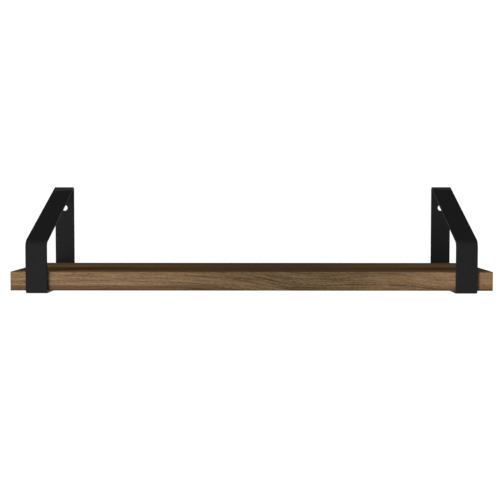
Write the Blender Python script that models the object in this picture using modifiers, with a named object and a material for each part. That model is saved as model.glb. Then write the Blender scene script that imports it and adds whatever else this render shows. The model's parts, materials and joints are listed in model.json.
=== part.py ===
"""Wall shelf: a walnut-faced board carried in two bent flat-steel brackets.

Metres. +X runs along the shelf, +Y goes into the wall and +Z is up. The origin is on the wall's
surface, midway between the two wall holes. Run it with blender --background --python part.py, or
from the Text editor.
"""

import math

import bmesh
import bpy
from mathutils import Vector

# ---------------------------------------------------------------- driving dimensions
GAP = 0.0003                     # clearance left between pieces that touch
BOARD_LENGTH = 0.610
BOARD_DEPTH = 0.184
BOARD_THICKNESS = 0.024
FACING_THICKNESS = 0.0008        # walnut facings and edge bands
END_OVERHANG = 0.020             # board past the outer side of each bracket

STRAP_THICKNESS = 0.0032
STRAP_WIDTH = 0.0272
BACK_CORNER_HEIGHT = 0.1385      # where the sloping leg's outer face would meet the wall
FRONT_CORNER_HEIGHT = 0.0657     # where it would meet the front leg's outer face
TOP_BEND_RADIUS = 0.0040         # outer radii of the three bends
FRONT_BEND_RADIUS = 0.0086
BOTTOM_BEND_RADIUS = 0.0040
BEND_SEGMENTS = 10

WALL_HOLE_DIAMETER = 0.0082
WALL_HOLE_HEIGHT = 0.1069        # above the bracket's underside
SCREW_HOLE_DIAMETER = 0.0046
HOLE_SIDES = 32

SCREW_SETBACKS = (0.045, 0.145)  # from the wall, along the bottom leg
SCREW_LENGTH = 0.016             # under the head
SCREW_CORE_RADIUS = 0.00125
SCREW_THREAD_RADIUS = 0.00175
SCREW_PITCH = 0.0016
SCREW_TURNS = 6
SCREW_TIP_LENGTH = 0.0030
SCREW_HEAD_RADIUS = 0.0038
SCREW_HEAD_HEIGHT = 0.0024
SCREW_RECESS_WIDTH = 0.0009
SCREW_RECESS_SPAN = 0.0040
SCREW_RECESS_DEPTH = 0.0014
SCREW_SIDES = 16
PILOT_CLEARANCE = 0.0003

# ---------------------------------------------------------------- derived places
BRACKET_REACH = BOARD_DEPTH + 2 * (STRAP_THICKNESS + GAP)
BRACKET_X = BOARD_LENGTH / 2 - END_OVERHANG - STRAP_WIDTH / 2
BRACKET_BASE_Z = -WALL_HOLE_HEIGHT
BOARD_BACK_Y = -(STRAP_THICKNESS + GAP)
BOARD_CENTRE_Y = BOARD_BACK_Y - BOARD_DEPTH / 2
BOARD_BOTTOM_Z = BRACKET_BASE_Z + STRAP_THICKNESS + GAP
BOARD_CENTRE_Z = BOARD_BOTTOM_Z + BOARD_THICKNESS / 2
FACING_STEP = FACING_THICKNESS + GAP      # from the board's outer face to its core

PARTS_NAME = "wall_shelf_with_brackets"
CUTTERS_NAME = "cutters"


# ---------------------------------------------------------------- scene and materials
def empty_scene():
    for obj in list(bpy.data.objects):
        bpy.data.objects.remove(obj, do_unlink=True)


def new_collection(name):
    collection = bpy.data.collections.new(name)
    bpy.context.scene.collection.children.link(collection)
    return collection


def new_material(name, color, roughness, metallic=0.0):
    material = bpy.data.materials.new(name)
    material.use_nodes = True
    shader = material.node_tree.nodes["Principled BSDF"]
    shader.inputs["Base Color"].default_value = (*color, 1.0)
    shader.inputs["Roughness"].default_value = roughness
    shader.inputs["Metallic"].default_value = metallic
    return material


def new_object(name, mesh, collection, material=None, location=(0.0, 0.0, 0.0)):
    obj = bpy.data.objects.new(name, mesh)
    obj.location = location
    if material is not None:
        mesh.materials.append(material)
    collection.objects.link(obj)
    return obj


# ---------------------------------------------------------------- shapes
def block(name, size, location, collection, material=None):
    """A box of the given size about its own centre."""
    mesh = bpy.data.meshes.new(name)
    bm = bmesh.new()
    bmesh.ops.create_cube(bm, size=1.0)
    bmesh.ops.scale(bm, vec=Vector(size), verts=bm.verts)
    bm.to_mesh(mesh)
    bm.free()
    return new_object(name, mesh, collection, material, location)


def cylinder(name, radius, length, axis, location, collection):
    """A closed cylinder along the axis "Y" or "Z", used as a cutter."""
    mesh = bpy.data.meshes.new(name)
    bm = bmesh.new()
    bmesh.ops.create_cone(bm, cap_ends=True, segments=HOLE_SIDES, radius1=radius, radius2=radius,
                          depth=length)
    bm.to_mesh(mesh)
    bm.free()
    obj = new_object(name, mesh, collection, location=location)
    if axis == "Y":
        obj.rotation_euler.x = math.pi / 2
    return obj


def cut(obj, cutter):
    """Takes the cutter's shape out of the object, and keeps the cutter out of sight."""
    cutter.hide_render = True
    cutter.display_type = "WIRE"
    boolean = obj.modifiers.new(cutter.name, "BOOLEAN")
    boolean.operation = "DIFFERENCE"
    boolean.solver = "EXACT"
    boolean.object = cutter


def bend(corner, before, after, radius):
    """Points of the arc that rounds a corner between two straight runs, from one to the other."""
    back = (before - corner).normalized()
    onward = (after - corner).normalized()
    half_angle = back.angle(onward) / 2
    start = corner + back * radius / math.tan(half_angle)
    centre = corner + (back + onward).normalized() * radius / math.sin(half_angle)
    turn = -math.copysign(math.pi - 2 * half_angle, back.cross(onward))
    spoke = start - centre
    points = []
    for step in range(BEND_SEGMENTS + 1):
        angle = turn * step / BEND_SEGMENTS
        turned = (spoke.x * math.cos(angle) - spoke.y * math.sin(angle),
                  spoke.x * math.sin(angle) + spoke.y * math.cos(angle))
        points.append(centre + Vector(turned))
    return points


def strap_outline():
    """The bracket's outer outline as (y, z): foot at the wall, top, front bend, front foot.

    The foot at the wall is a square welded corner and the other three corners are bends.
    """
    corners = [
        (Vector((0.0, 0.0)), 0.0),
        (Vector((0.0, BACK_CORNER_HEIGHT)), TOP_BEND_RADIUS),
        (Vector((-BRACKET_REACH, FRONT_CORNER_HEIGHT)), FRONT_BEND_RADIUS),
        (Vector((-BRACKET_REACH, 0.0)), BOTTOM_BEND_RADIUS),
    ]
    points = []
    for index, (corner, radius) in enumerate(corners):
        if radius == 0.0:
            points.append(corner)
            continue
        before = corners[index - 1][0]
        after = corners[(index + 1) % len(corners)][0]
        points.extend(bend(corner, before, after, radius))
    return points


def strap_loop(name, collection, material, location):
    """Flat steel bent to a closed loop: a ribbon along the outer outline, thickened inwards."""
    mesh = bpy.data.meshes.new(name)
    bm = bmesh.new()
    ring = [bm.verts.new((-STRAP_WIDTH / 2, y, z)) for y, z in strap_outline()]
    edges = [bm.edges.new((a, b)) for a, b in zip(ring, ring[1:] + ring[:1])]
    extruded = bmesh.ops.extrude_edge_only(bm, edges=edges)["geom"]
    far_side = [item for item in extruded if isinstance(item, bmesh.types.BMVert)]
    bmesh.ops.translate(bm, vec=(STRAP_WIDTH, 0.0, 0.0), verts=far_side)
    bmesh.ops.recalc_face_normals(bm, faces=bm.faces)
    bm.to_mesh(mesh)
    bm.free()
    obj = new_object(name, mesh, collection, material, location)
    thickness = obj.modifiers.new("strap_thickness", "SOLIDIFY")
    thickness.thickness = STRAP_THICKNESS
    thickness.offset = -1.0
    thickness.use_even_offset = True
    return obj


# ---------------------------------------------------------------- board
def make_board(parts, cutters, walnut, chipboard):
    """A particleboard core between two facings, with a band on each of its four edges."""
    core_length = BOARD_LENGTH - 2 * FACING_STEP
    core_depth = BOARD_DEPTH - 2 * FACING_STEP
    core_thickness = BOARD_THICKNESS - 2 * FACING_STEP
    centre = Vector((0.0, BOARD_CENTRE_Y, BOARD_CENTRE_Z))

    core = block("board_core", (core_length, core_depth, core_thickness), centre, parts, chipboard)
    facing_size = (core_length, core_depth, FACING_THICKNESS)
    facing_offset = Vector((0.0, 0.0, (BOARD_THICKNESS - FACING_THICKNESS) / 2))
    block("top_veneer", facing_size, centre + facing_offset, parts, walnut)
    underside = block("bottom_veneer", facing_size, centre - facing_offset, parts, walnut)

    long_band = (BOARD_LENGTH, FACING_THICKNESS, BOARD_THICKNESS)
    long_offset = Vector((0.0, (BOARD_DEPTH - FACING_THICKNESS) / 2, 0.0))
    block("front_edge_band", long_band, centre - long_offset, parts, walnut)
    block("back_edge_band", long_band, centre + long_offset, parts, walnut)

    end_band = (FACING_THICKNESS, core_depth, BOARD_THICKNESS)
    end_offset = Vector(((BOARD_LENGTH - FACING_THICKNESS) / 2, 0.0, 0.0))
    block("left_end_band", end_band, centre - end_offset, parts, walnut)
    block("right_end_band", end_band, centre + end_offset, parts, walnut)

    pilot_radius = SCREW_THREAD_RADIUS + PILOT_CLEARANCE
    pilot_depth = SCREW_LENGTH - STRAP_THICKNESS + 0.001
    for index, place in enumerate(screw_places()):
        middle = place + Vector((0.0, 0.0, BOARD_BOTTOM_Z - BRACKET_BASE_Z))
        pilot = cylinder(f"pilot_{index + 1}", pilot_radius, 2 * pilot_depth, "Z", middle, cutters)
        cut(core, pilot)
        cut(underside, pilot)


# ---------------------------------------------------------------- brackets
def make_bracket(name, x, parts, cutters, coating):
    """One closed strap loop, with a hole for the wall fixing and two for the board screws."""
    bracket = strap_loop(name, parts, coating, (x, 0.0, BRACKET_BASE_Z))
    through = 4 * STRAP_THICKNESS
    wall_hole = cylinder(f"{name}_wall_hole", WALL_HOLE_DIAMETER / 2, through, "Y",
                         (x, -STRAP_THICKNESS / 2, 0.0), cutters)
    cut(bracket, wall_hole)
    for index, setback in enumerate(SCREW_SETBACKS):
        middle = (x, -setback, BRACKET_BASE_Z + STRAP_THICKNESS / 2)
        hole = cylinder(f"{name}_screw_hole_{index + 1}", SCREW_HOLE_DIAMETER / 2, through, "Z",
                        middle, cutters)
        cut(bracket, hole)


# ---------------------------------------------------------------- board screws
def screw_places():
    """Where each board screw enters: left back, left front, right back, right front."""
    return [Vector((x, -setback, BRACKET_BASE_Z))
            for x in (-BRACKET_X, BRACKET_X) for setback in SCREW_SETBACKS]


def screw_profile():
    """Half of the screw's section as (radius, height), from its tip down to the head's middle.

    The thread is drawn as equal ridges, one pitch apart.
    """
    bearing = -GAP
    tip = bearing + SCREW_LENGTH
    thread_top = tip - SCREW_TIP_LENGTH
    points = [(0.0, tip), (SCREW_CORE_RADIUS, thread_top)]
    for turn in range(SCREW_TURNS):
        crest = thread_top - SCREW_PITCH * (turn + 0.5)
        points.append((SCREW_THREAD_RADIUS, crest))
        points.append((SCREW_CORE_RADIUS, crest - SCREW_PITCH / 2))
    points.append((SCREW_CORE_RADIUS, bearing))
    points.append((SCREW_HEAD_RADIUS, bearing))
    flat = 0.35 * SCREW_HEAD_HEIGHT
    points.append((SCREW_HEAD_RADIUS, bearing - flat))
    crown_steps = 5
    for step in range(1, crown_steps):
        angle = step / crown_steps * math.pi / 2
        radius = SCREW_HEAD_RADIUS * math.cos(angle) ** 0.5
        height = bearing - flat - (SCREW_HEAD_HEIGHT - flat) * math.sin(angle)
        points.append((radius, height))
    points.append((0.0, bearing - SCREW_HEAD_HEIGHT))
    return points


def make_screw(name, place, parts, cutters, steel):
    """A pan-head wood screw standing on its head, with a cross recess underneath."""
    mesh = bpy.data.meshes.new(name)
    bm = bmesh.new()
    line = [bm.verts.new((radius, 0.0, height)) for radius, height in screw_profile()]
    for a, b in zip(line, line[1:]):
        bm.edges.new((a, b))
    bm.to_mesh(mesh)
    bm.free()
    screw = new_object(name, mesh, parts, steel, place)
    turned = screw.modifiers.new("turned", "SCREW")
    turned.steps = SCREW_SIDES
    turned.render_steps = SCREW_SIDES
    turned.use_merge_vertices = True
    turned.merge_threshold = 0.00001
    turned.use_smooth_shade = True

    recess_z = place.z - GAP - SCREW_HEAD_HEIGHT
    for arm, size in (("along", (SCREW_RECESS_SPAN, SCREW_RECESS_WIDTH, 2 * SCREW_RECESS_DEPTH)),
                      ("across", (SCREW_RECESS_WIDTH, SCREW_RECESS_SPAN, 2 * SCREW_RECESS_DEPTH))):
        slot = block(f"{name}_recess_{arm}", size, (place.x, place.y, recess_z), cutters)
        cut(screw, slot)


# ---------------------------------------------------------------- assembly
def main():
    empty_scene()
    parts = new_collection(PARTS_NAME)
    cutters = new_collection(CUTTERS_NAME)
    walnut = new_material("walnut_facing", (0.19, 0.12, 0.07), 0.5)
    chipboard = new_material("chipboard", (0.45, 0.33, 0.2), 0.9)
    coating = new_material("black_powder_coat", (0.016, 0.016, 0.017), 0.55)
    steel = new_material("black_screw_steel", (0.03, 0.03, 0.032), 0.35, 1.0)

    make_board(parts, cutters, walnut, chipboard)
    make_bracket("left_bracket", -BRACKET_X, parts, cutters, coating)
    make_bracket("right_bracket", BRACKET_X, parts, cutters, coating)
    names = ("left_back_screw", "left_front_screw", "right_back_screw", "right_front_screw")
    for name, place in zip(names, screw_places()):
        make_screw(name, place, parts, cutters, steel)


main()
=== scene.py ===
"""Wall shelf with brackets: its fine surfaces, finishes, light and camera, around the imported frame.

Lengths are in metres. +X runs along the shelf, +Y into the wall and +Z up, and the origin is on the
wall's surface midway between the two wall holes. Blender 4.5 runs this file as a plain script.
"""

import json
import logging
import math
from collections.abc import Sequence
from dataclasses import dataclass
from enum import Enum

import bpy
import numpy as np
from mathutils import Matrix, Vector

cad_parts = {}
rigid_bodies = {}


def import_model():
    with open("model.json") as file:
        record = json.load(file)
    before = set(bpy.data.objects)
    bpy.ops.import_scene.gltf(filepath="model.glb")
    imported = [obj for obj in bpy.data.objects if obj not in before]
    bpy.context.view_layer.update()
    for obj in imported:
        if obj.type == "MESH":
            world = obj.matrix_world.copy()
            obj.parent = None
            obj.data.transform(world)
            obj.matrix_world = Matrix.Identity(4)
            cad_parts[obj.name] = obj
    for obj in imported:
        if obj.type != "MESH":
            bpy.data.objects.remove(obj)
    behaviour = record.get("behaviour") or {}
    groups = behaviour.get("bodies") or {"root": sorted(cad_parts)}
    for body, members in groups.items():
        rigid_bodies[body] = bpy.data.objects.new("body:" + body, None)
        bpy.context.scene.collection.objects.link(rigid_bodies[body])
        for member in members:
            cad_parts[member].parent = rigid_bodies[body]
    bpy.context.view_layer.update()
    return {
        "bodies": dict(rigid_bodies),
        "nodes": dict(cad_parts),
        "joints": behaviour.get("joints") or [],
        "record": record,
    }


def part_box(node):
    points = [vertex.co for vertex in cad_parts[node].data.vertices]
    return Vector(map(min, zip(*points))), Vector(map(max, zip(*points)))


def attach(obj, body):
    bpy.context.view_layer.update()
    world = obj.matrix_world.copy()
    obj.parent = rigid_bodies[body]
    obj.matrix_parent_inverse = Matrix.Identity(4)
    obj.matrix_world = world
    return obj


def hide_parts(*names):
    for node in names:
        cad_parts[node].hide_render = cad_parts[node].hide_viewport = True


LOG = logging.getLogger("wall_shelf")
MM = 0.001
BODY = "root"
Color = tuple[float, float, float]
Socket = bpy.types.NodeSocket
Value = Socket | float


class Side(Enum):
    """The two ends of the shelf, with the sign of their X."""

    LEFT = -1
    RIGHT = 1

    @property
    def word(self) -> str:
        """The side's name as the frame writes it."""
        return self.name.lower()


class Slot(Enum):
    """The record's material slots, one named for each kind of new piece."""

    WALNUT = "walnut_facing"
    COATING = "bracket_coating"
    SCREW = "screw_steel"


# ---------------------------------------------------------------- meshes
def grid_quads(rows: int, columns: int, close_rows: bool, close_columns: bool) -> np.ndarray:
    """Faces of a grid of vertices that are numbered row by row.

    Args:
        rows: how many rows of vertices there are.
        columns: how many vertices a row has.
        close_rows: whether the last row joins the first.
        close_columns: whether the last column joins the first.

    Returns:
        An array of quads, each four vertex numbers, in row-major order.
    """
    row, column = np.meshgrid(
        np.arange(rows if close_rows else rows - 1),
        np.arange(columns if close_columns else columns - 1),
        indexing="ij",
    )
    row, column = row.ravel(), column.ravel()
    below, beside = (row + 1) % rows, (column + 1) % columns
    corners = [(row, column), (row, beside), (below, beside), (below, column)]
    return np.stack([r * columns + c for r, c in corners], axis=1)


def end_caps(rows: int, columns: int) -> list[list[int]]:
    """The flat faces that close the first and last rows of a grid whose columns go round."""
    last = (rows - 1) * columns
    return [list(range(columns))[::-1], list(range(last, last + columns))]


def signed_volume(points: np.ndarray, quads: np.ndarray) -> float:
    """Six times the volume inside a closed set of quads, positive if they face outwards."""
    a, b, c, d = (points[quads[:, k]] for k in range(4))
    halves = np.einsum("ij,ij->i", a, np.cross(b, c)) + np.einsum("ij,ij->i", a, np.cross(c, d))
    return float(halves.sum())


def add_piece(
    name: str,
    points: np.ndarray,
    quads: np.ndarray,
    caps: Sequence[Sequence[int]] = (),
    normals: np.ndarray | None = None,
    sharp_angle: float = math.radians(35),
    arris: np.ndarray | None = None,
) -> bpy.types.Object:
    """Makes an object at the origin from a computed surface, with its faces pointing outwards.

    Args:
        name: the piece's name.
        points: vertex positions, one row each.
        quads: faces of four vertex numbers.
        caps: flat end faces of any number of corners, in the quads' sense.
        normals: the exact normal at each vertex, where a formula gives it.
        sharp_angle: the angle past which an edge is shaded sharp, where there are no normals.
        arris: how much each vertex lies on a worn edge, from 0 to 1.

    Returns:
        The new object, linked to the scene.
    """
    faces = [list(map(int, quad)) for quad in quads] + [list(map(int, cap)) for cap in caps]
    if signed_volume(points, quads) < 0:
        faces = [face[::-1] for face in faces]
    mesh = bpy.data.meshes.new(name)
    mesh.from_pydata(points.tolist(), [], faces)
    mesh.shade_smooth()
    if normals is None:
        mesh.set_sharp_from_angle(angle=sharp_angle)
    else:
        mesh.normals_split_custom_set_from_vertices(normals.tolist())
    if arris is not None:
        layer = mesh.attributes.new("arris", "FLOAT", "POINT")
        layer.data.foreach_set("value", arris.astype(np.float32))
    piece = bpy.data.objects.new(name, mesh)
    bpy.context.scene.collection.objects.link(piece)
    return piece


def fit_out(
    piece: bpy.types.Object, material: bpy.types.Material, slot: Slot, *nodes: str
) -> None:
    """Dresses a new piece, hangs it on the frame's body and hides the nodes it stands for."""
    piece.data.materials.append(material)
    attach(piece, BODY)
    if nodes:
        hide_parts(*nodes)
    LOG.info("made %s with %d vertices", piece.name, len(piece.data.vertices))


def dress_node(node: bpy.types.Object, material: bpy.types.Material) -> None:
    """Gives a node of the frame, whose shape is right as it is, its finished material."""
    node.data.materials.clear()
    node.data.materials.append(material)
    LOG.info("dressed %s", node.name)


def rounded_block(
    name: str, low: Vector, high: Vector, radius: float, steps: int = 5, cap_angle: float = 0.06
) -> bpy.types.Object:
    """A bar along X whose arrises and corners are all rounded.

    The surface is that of a ball of the given radius rolled over an inner box: a point is an inner
    corner plus the radius times the ball's own direction there. Angle u runs from one X end to the
    other and angle v round the section, each a quarter turn per corner, so the flats are the long
    quads between two corners' arcs.

    Args:
        name: the piece's name.
        low: the block's lowest corner.
        high: the block's highest corner.
        radius: radius of every arris.
        steps: facets in each quarter turn.
        cap_angle: how far short of each X end's pole the surface stops, where a flat cap closes it.

    Returns:
        The block as an object.
    """
    u = np.concatenate([np.linspace(-math.pi / 2 + cap_angle, 0, steps + 1),
                        np.linspace(0, math.pi / 2 - cap_angle, steps + 1)])
    end = np.repeat([-1.0, 1.0], steps + 1)
    v = np.concatenate([np.linspace(k, k + 1, steps + 1) for k in range(4)]) * math.pi / 2
    side_y = np.repeat([1.0, -1.0, -1.0, 1.0], steps + 1)
    side_z = np.repeat([1.0, 1.0, -1.0, -1.0], steps + 1)
    centre, half = (np.array(high) + np.array(low)) / 2, (np.array(high) - np.array(low)) / 2
    inner = half - radius
    normals = np.stack([
        np.broadcast_to(np.sin(u)[:, None], (len(u), len(v))),
        np.cos(u)[:, None] * np.cos(v)[None, :],
        np.cos(u)[:, None] * np.sin(v)[None, :],
    ], axis=-1)
    corners = np.stack([
        np.broadcast_to(end[:, None] * inner[0], (len(u), len(v))),
        np.broadcast_to(side_y[None, :] * inner[1], (len(u), len(v))),
        np.broadcast_to(side_z[None, :] * inner[2], (len(u), len(v))),
    ], axis=-1)
    points = (centre + corners + radius * normals).reshape(-1, 3)
    quads = grid_quads(len(u), len(v), False, True)
    return add_piece(name, points, quads, end_caps(len(u), len(v)), normals.reshape(-1, 3))


# ---------------------------------------------------------------- node trees
class Wiring:
    """Adds nodes to one node tree and joins them up, a socket at a time."""

    def __init__(self, tree: bpy.types.NodeTree) -> None:
        """Takes the tree that the nodes go into."""
        self.tree = tree

    def node(self, kind: str, **settings: object) -> bpy.types.Node:
        """Adds a node of a kind, with the given properties set."""
        made = self.tree.nodes.new(kind)
        for key, value in settings.items():
            setattr(made, key, value)
        return made

    def feed(self, target: Socket, value: Value | Sequence[float]) -> None:
        """Links a socket to the target, or sets the target's own value."""
        if isinstance(value, bpy.types.NodeSocket):
            self.tree.links.new(value, target)
        else:
            target.default_value = value

    def fill(self, made: bpy.types.Node, **values: Value | Sequence[float]) -> bpy.types.Node:
        """Feeds a node's inputs, given by name with _ for a space, and returns the node."""
        for key, value in values.items():
            self.feed(made.inputs[key.replace("_", " ").title()], value)
        return made

    def math(self, operation: str, *values: Value, clamp: bool = False) -> Socket:
        """A Math node's result."""
        made = self.node("ShaderNodeMath", operation=operation, use_clamp=clamp)
        for target, value in zip(made.inputs, values):
            self.feed(target, value)
        return made.outputs[0]

    def plus(self, first: Value, second: Value, clamp: bool = False) -> Socket:
        """The sum of two values, held between 0 and 1 if clamped."""
        return self.math("ADD", first, second, clamp=clamp)

    def minus(self, first: Value, second: Value) -> Socket:
        """The first value less the second."""
        return self.math("SUBTRACT", first, second)

    def times(self, first: Value, second: Value, clamp: bool = False) -> Socket:
        """The product of two values, held between 0 and 1 if clamped."""
        return self.math("MULTIPLY", first, second, clamp=clamp)

    def swing(self, value: Socket, reach: float) -> Socket:
        """A value of 0 to 1 as a swing about zero, the reach from end to end."""
        return self.times(self.minus(value, 0.5), reach)

    def vector(self, operation: str, *values: Socket | Sequence[float]) -> Socket:
        """A Vector Math node's vector result."""
        made = self.node("ShaderNodeVectorMath", operation=operation)
        for target, value in zip(made.inputs, values):
            self.feed(target, value)
        return made.outputs["Vector"]

    def noise(self, vector: Socket, scale: Value, detail: float = 2.0, roughness: float = 0.5) -> Socket:
        """A 3-D noise of about 0 to 1 with the given number of features per unit."""
        made = self.fill(self.node("ShaderNodeTexNoise"), vector=vector, scale=scale, detail=detail,
                         roughness=roughness)
        return made.outputs["Fac"]

    def mix(self, share: Value, first: Socket | Color, second: Socket | Color,
            blend: str = "MIX") -> Socket:
        """One colour blended over another by a share."""
        made = self.node("ShaderNodeMix", data_type="RGBA", blend_type=blend)
        self.feed(made.inputs["Factor"], share)
        for key, value in (("A", first), ("B", second)):
            target = next(s for s in made.inputs if s.name == key and s.type == "RGBA")
            self.feed(target, value if isinstance(value, bpy.types.NodeSocket) else (*value, 1.0))
        return next(s for s in made.outputs if s.type == "RGBA")

    def split(self, vector: Socket) -> tuple[Socket, Socket, Socket]:
        """A vector's three numbers."""
        made = self.node("ShaderNodeSeparateXYZ")
        self.feed(made.inputs[0], vector)
        return made.outputs[0], made.outputs[1], made.outputs[2]

    def object_place(self, turn: float = 0.0) -> Socket:
        """The point's place on the object in metres, turned about Z by an angle."""
        coordinates = self.node("ShaderNodeTexCoord").outputs["Object"]
        made = self.fill(self.node("ShaderNodeMapping"), vector=coordinates, rotation=(0.0, 0.0, turn))
        return made.outputs["Vector"]

    def attribute(self, name: str) -> Socket:
        """A number that the mesh holds at each vertex."""
        return self.node("ShaderNodeAttribute", attribute_name=name).outputs["Fac"]

    def bump(self, height: Socket, distance: float, strength: float = 1.0) -> Socket:
        """A normal roughened by a height from 0 to 1 that is a distance tall."""
        made = self.fill(self.node("ShaderNodeBump"), height=height, distance=distance, strength=strength)
        return made.outputs["Normal"]

    def group(self, made_group: bpy.types.NodeTree, **values: Value) -> bpy.types.Node:
        """A shared effect placed in this tree, its inputs given by name with _ for a space."""
        return self.fill(self.node("ShaderNodeGroup", node_tree=made_group), **values)


@dataclass(frozen=True)
class Ramp:
    """A smooth step from start to stop as a value goes from low to high."""

    low: float
    high: float
    start: float = 0.0
    stop: float = 1.0

    def at(self, w: Wiring, value: Socket, base: float = 0.0) -> Socket:
        """The step at a value, with low and high counted from a base."""
        made = w.node("ShaderNodeMapRange", interpolation_type="SMOOTHSTEP")
        numbers = (value, base + self.low, base + self.high, self.start, self.stop)
        for target, number in zip(made.inputs, numbers):
            w.feed(target, number)
        return made.outputs["Result"]


@dataclass(frozen=True)
class Stretched:
    """A noise drawn out along X, by its features per metre along and across."""

    along: float
    across: float
    detail: float = 2.0
    roughness: float = 0.5

    def at(self, w: Wiring, place: Socket) -> Socket:
        """The noise at a place, from about 0 to 1."""
        scaled = w.vector("MULTIPLY", place, (self.along, self.across, self.across))
        return w.noise(scaled, 1.0, self.detail, self.roughness)


def new_group(name: str, inputs: dict[str, str], outputs: dict[str, str]) -> tuple[
        bpy.types.NodeTree, Wiring, bpy.types.Node, bpy.types.Node]:
    """Starts a shader node group.

    Args:
        name: the group's name.
        inputs: input names with their socket types.
        outputs: output names with their socket types.

    Returns:
        The group, its wiring, its Group Input node and its Group Output node.
    """
    tree = bpy.data.node_groups.new(name, "ShaderNodeTree")
    for in_out, sockets in (("INPUT", inputs), ("OUTPUT", outputs)):
        for key, kind in sockets.items():
            tree.interface.new_socket(key, in_out=in_out, socket_type=kind)
    wiring = Wiring(tree)
    return tree, wiring, wiring.node("NodeGroupInput"), wiring.node("NodeGroupOutput")


FLOAT, VECTOR = "NodeSocketFloat", "NodeSocketVector"


def grain_sweep_group() -> bpy.types.NodeTree:
    """Grain that sweeps down through the board: the place is lifted by the drop times the smooth
    step one plus tanh of the distance past the centre over the half width, halved, so that lines
    of equal height fall by that drop from left to right."""
    tree, w, given, result = new_group(
        "grain_sweep", {"Place": VECTOR, "Centre": FLOAT, "Half Width": FLOAT, "Drop": FLOAT},
        {"Place": VECTOR})
    x, _, _ = w.split(given.outputs["Place"])
    past = w.math("DIVIDE", w.minus(x, given.outputs["Centre"]), given.outputs["Half Width"])
    step = w.times(w.plus(w.math("TANH", past), 1.0), 0.5)
    lift = w.fill(w.node("ShaderNodeCombineXYZ"), z=w.times(step, given.outputs["Drop"]))
    w.fill(result, place=w.vector("ADD", given.outputs["Place"], lift.outputs[0]))
    return tree


@dataclass(frozen=True)
class WalnutFigure:
    """How walnut is figured in a stem that lies along X, with its pith below the board."""

    slow_wander: Stretched = Stretched(9.0, 30.0)
    slow_reach: float = 8 * MM
    quick_wander: Stretched = Stretched(45.0, 160.0)
    quick_reach: float = 1.8 * MM
    pith_y: float = -100 * MM
    pith_z: float = -340 * MM
    spacings_per_metre: float = 130.0
    spacing_reach: float = 3.0
    late_power: float = 2.4
    late_fall: Ramp = Ramp(0.88, 1.0, 1.0, 0.0)
    faintest_ring: float = 0.2
    bands: Stretched = Stretched(7.0, 190.0)
    streaks: Stretched = Stretched(26.0, 800.0, 3.0, 0.6)
    dashes: Stretched = Stretched(230.0, 1300.0, 1.0)
    fibres: Stretched = Stretched(240.0, 4200.0, 3.0, 0.65)
    pores: Stretched = Stretched(170.0, 3300.0, 1.0)
    pore_peaks: Ramp = Ramp(0.62, 0.70)

    def group(self) -> bpy.types.NodeTree:
        """The figure as a node group.

        The place wanders by two noises. The ring count is the distance from the pith over the ring
        pitch, unevenly spaced by a noise of that distance, and its fraction rises slowly and drops
        fast, which draws the dark late wood, each ring in its own strength. Bands, streaks, dashes
        and fibres are noises stretched along X, from broad to fine, and pores are the peaks of
        another.
        """
        tree, w, given, result = new_group(
            "walnut_figure", {"Place": VECTOR, "Ring Pitch": FLOAT, "Wander": FLOAT},
            dict.fromkeys(("Rings", "Bands", "Streaks", "Dashes", "Fibres", "Pores"), FLOAT))
        place = given.outputs["Place"]
        shift = w.plus(w.swing(self.slow_wander.at(w, place), self.slow_reach),
                       w.swing(self.quick_wander.at(w, place), self.quick_reach))
        drift = w.node("ShaderNodeCombineXYZ")
        for axis in "YZ":
            w.feed(drift.inputs[axis], w.times(shift, given.outputs["Wander"]))
        place = w.vector("ADD", place, drift.outputs[0])
        _, y, z = w.split(place)
        across = w.math("SQRT", w.plus(w.math("POWER", w.minus(y, self.pith_y), 2.0),
                                       w.math("POWER", w.minus(z, self.pith_z), 2.0)))
        spacing = w.fill(w.node("ShaderNodeTexNoise", noise_dimensions="1D"),
                         w=w.times(across, self.spacings_per_metre), scale=1.0)
        rings = w.plus(w.math("DIVIDE", across, given.outputs["Ring Pitch"]),
                       w.times(spacing.outputs["Fac"], self.spacing_reach))
        fraction = w.math("FRACT", rings)
        late = w.times(w.math("POWER", fraction, self.late_power), self.late_fall.at(w, fraction))
        each = w.fill(w.node("ShaderNodeTexWhiteNoise", noise_dimensions="1D"), w=w.math("FLOOR", rings))
        strength = w.plus(w.times(each.outputs["Value"], 1 - self.faintest_ring), self.faintest_ring)
        w.fill(result, rings=w.times(late, strength), bands=self.bands.at(w, place),
               streaks=self.streaks.at(w, place), dashes=self.dashes.at(w, place),
               fibres=self.fibres.at(w, place),
               pores=self.pore_peaks.at(w, self.pores.at(w, place)))
        return tree


def edge_rub_group(patches_per_metre: float = 900.0, patch: Ramp = Ramp(0.35, 0.7)) -> bpy.types.NodeTree:
    """Rubbing along an arris: the edge mask broken up by a patchy noise, from 0 to 1."""
    tree, w, given, result = new_group(
        "edge_rub", {"Place": VECTOR, "Arris": FLOAT, "Amount": FLOAT}, {"Rub": FLOAT})
    patchy = patch.at(w, w.noise(given.outputs["Place"], patches_per_metre, 3.0, 0.6))
    rub = w.times(w.times(patchy, given.outputs["Arris"]), given.outputs["Amount"], clamp=True)
    w.fill(result, rub=rub)
    return tree


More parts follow.
